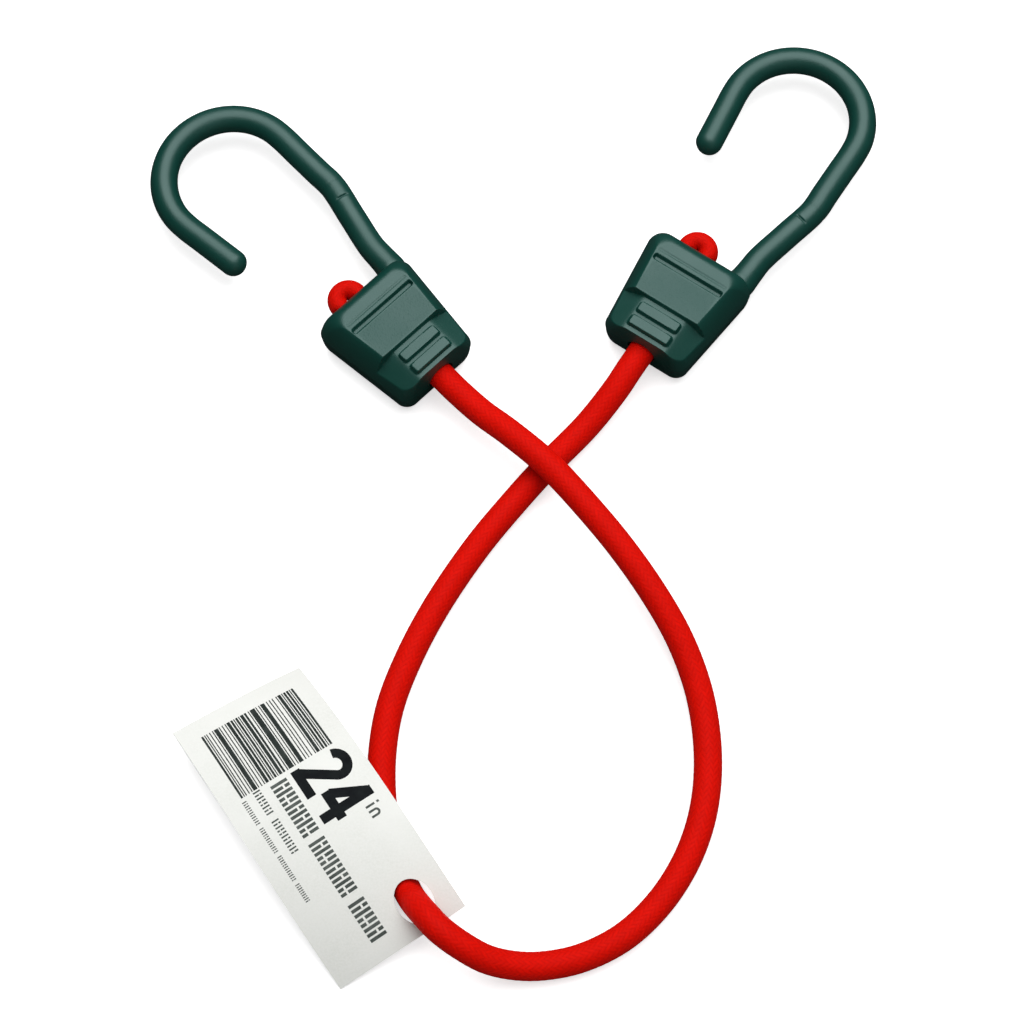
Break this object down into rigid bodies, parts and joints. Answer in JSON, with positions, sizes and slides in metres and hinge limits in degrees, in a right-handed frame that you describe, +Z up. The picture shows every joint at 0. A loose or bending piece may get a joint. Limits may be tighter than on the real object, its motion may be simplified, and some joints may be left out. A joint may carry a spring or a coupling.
{
  "type": "bungee cord",
  "caption": "Elastic tie-down cord with a braided cover, laid in a crossed loop, with a coated wire hook moulded into a wedge block at each end and a card tag threaded on the loop.",
  "frame": {"origin": "on the surface that the cord lies on, under the middle of the box of the hooks and the tag", "axes": "+Z up from that surface, +Y from the cord's loop towards the hooks, +X towards the right-hand hook"},
  "size_m": [0.1949, 0.255, 0.017],
  "materials": {
    "cord_cover": "woven",
    "cord_core": "matte",
    "hook_plastic": "satin",
    "hook_wire": "drawn",
    "ferrule": "satin",
    "tag_card": "printed card"
  },
  "bodies": {
    "cord_loop": {"loop_cover": "cord_cover", "loop_core": "cord_core", "left_run_cover": "cord_cover", "left_run_core": "cord_core", "right_run_cover": "cord_cover", "right_run_core": "cord_core"},
    "left_neck": {"left_neck_cover": "cord_cover", "left_neck_core": "cord_core"},
    "right_neck": {"right_neck_cover": "cord_cover", "right_neck_core": "cord_core"},
    "left_hook": {"left_hook_wire": "hook_wire", "left_hook_coating": "hook_plastic", "left_hook_block": "hook_plastic", "left_end_cover": "cord_cover", "left_end_core": "cord_core", "left_tail_ferrule": "ferrule"},
    "right_hook": {"right_hook_wire": "hook_wire", "right_hook_coating": "hook_plastic", "right_hook_block": "hook_plastic", "right_end_cover": "cord_cover", "right_end_core": "cord_core", "right_tail_ferrule": "ferrule"},
    "tag": {"tag": "tag_card"}
  },
  "joints": [
    {"name": "left_stretch", "type": "slide", "parent": "cord_loop", "child": "left_neck", "axis": [-0.6947, 0.7193, 0], "range_m": [0, 0.045], "stiffness_N_per_m": 900, "deforming": ["left_run_cover", "left_run_core"]},
    {"name": "right_stretch", "type": "slide", "parent": "cord_loop", "child": "right_neck", "axis": [0.5519, 0.8339, 0], "range_m": [0, 0.045], "stiffness_N_per_m": 900, "deforming": ["right_run_cover", "right_run_core"]},
    {"name": "left_hook_swing", "type": "hinge", "parent": "left_neck", "child": "left_hook", "pos_m": [-0.01374, 0.02625, 0.0085], "axis": [0, 0, 1], "range_deg": [-35, 35], "stiffness_Nm_per_rad": 0.05, "deforming": ["left_neck_cover", "left_neck_core"]},
    {"name": "right_hook_swing", "type": "hinge", "parent": "right_neck", "child": "right_hook", "pos_m": [0.02879, 0.03183, 0.0085], "axis": [0, 0, 1], "range_deg": [-35, 35], "stiffness_Nm_per_rad": 0.05, "deforming": ["right_neck_cover", "right_neck_core"]},
    {"name": "tag_swing", "type": "hinge", "parent": "cord_loop", "child": "tag", "pos_m": [-0.0247, -0.1071, 0.0077], "axis": [0, 0, 1], "range_deg": [-7, 35]}
  ]
}
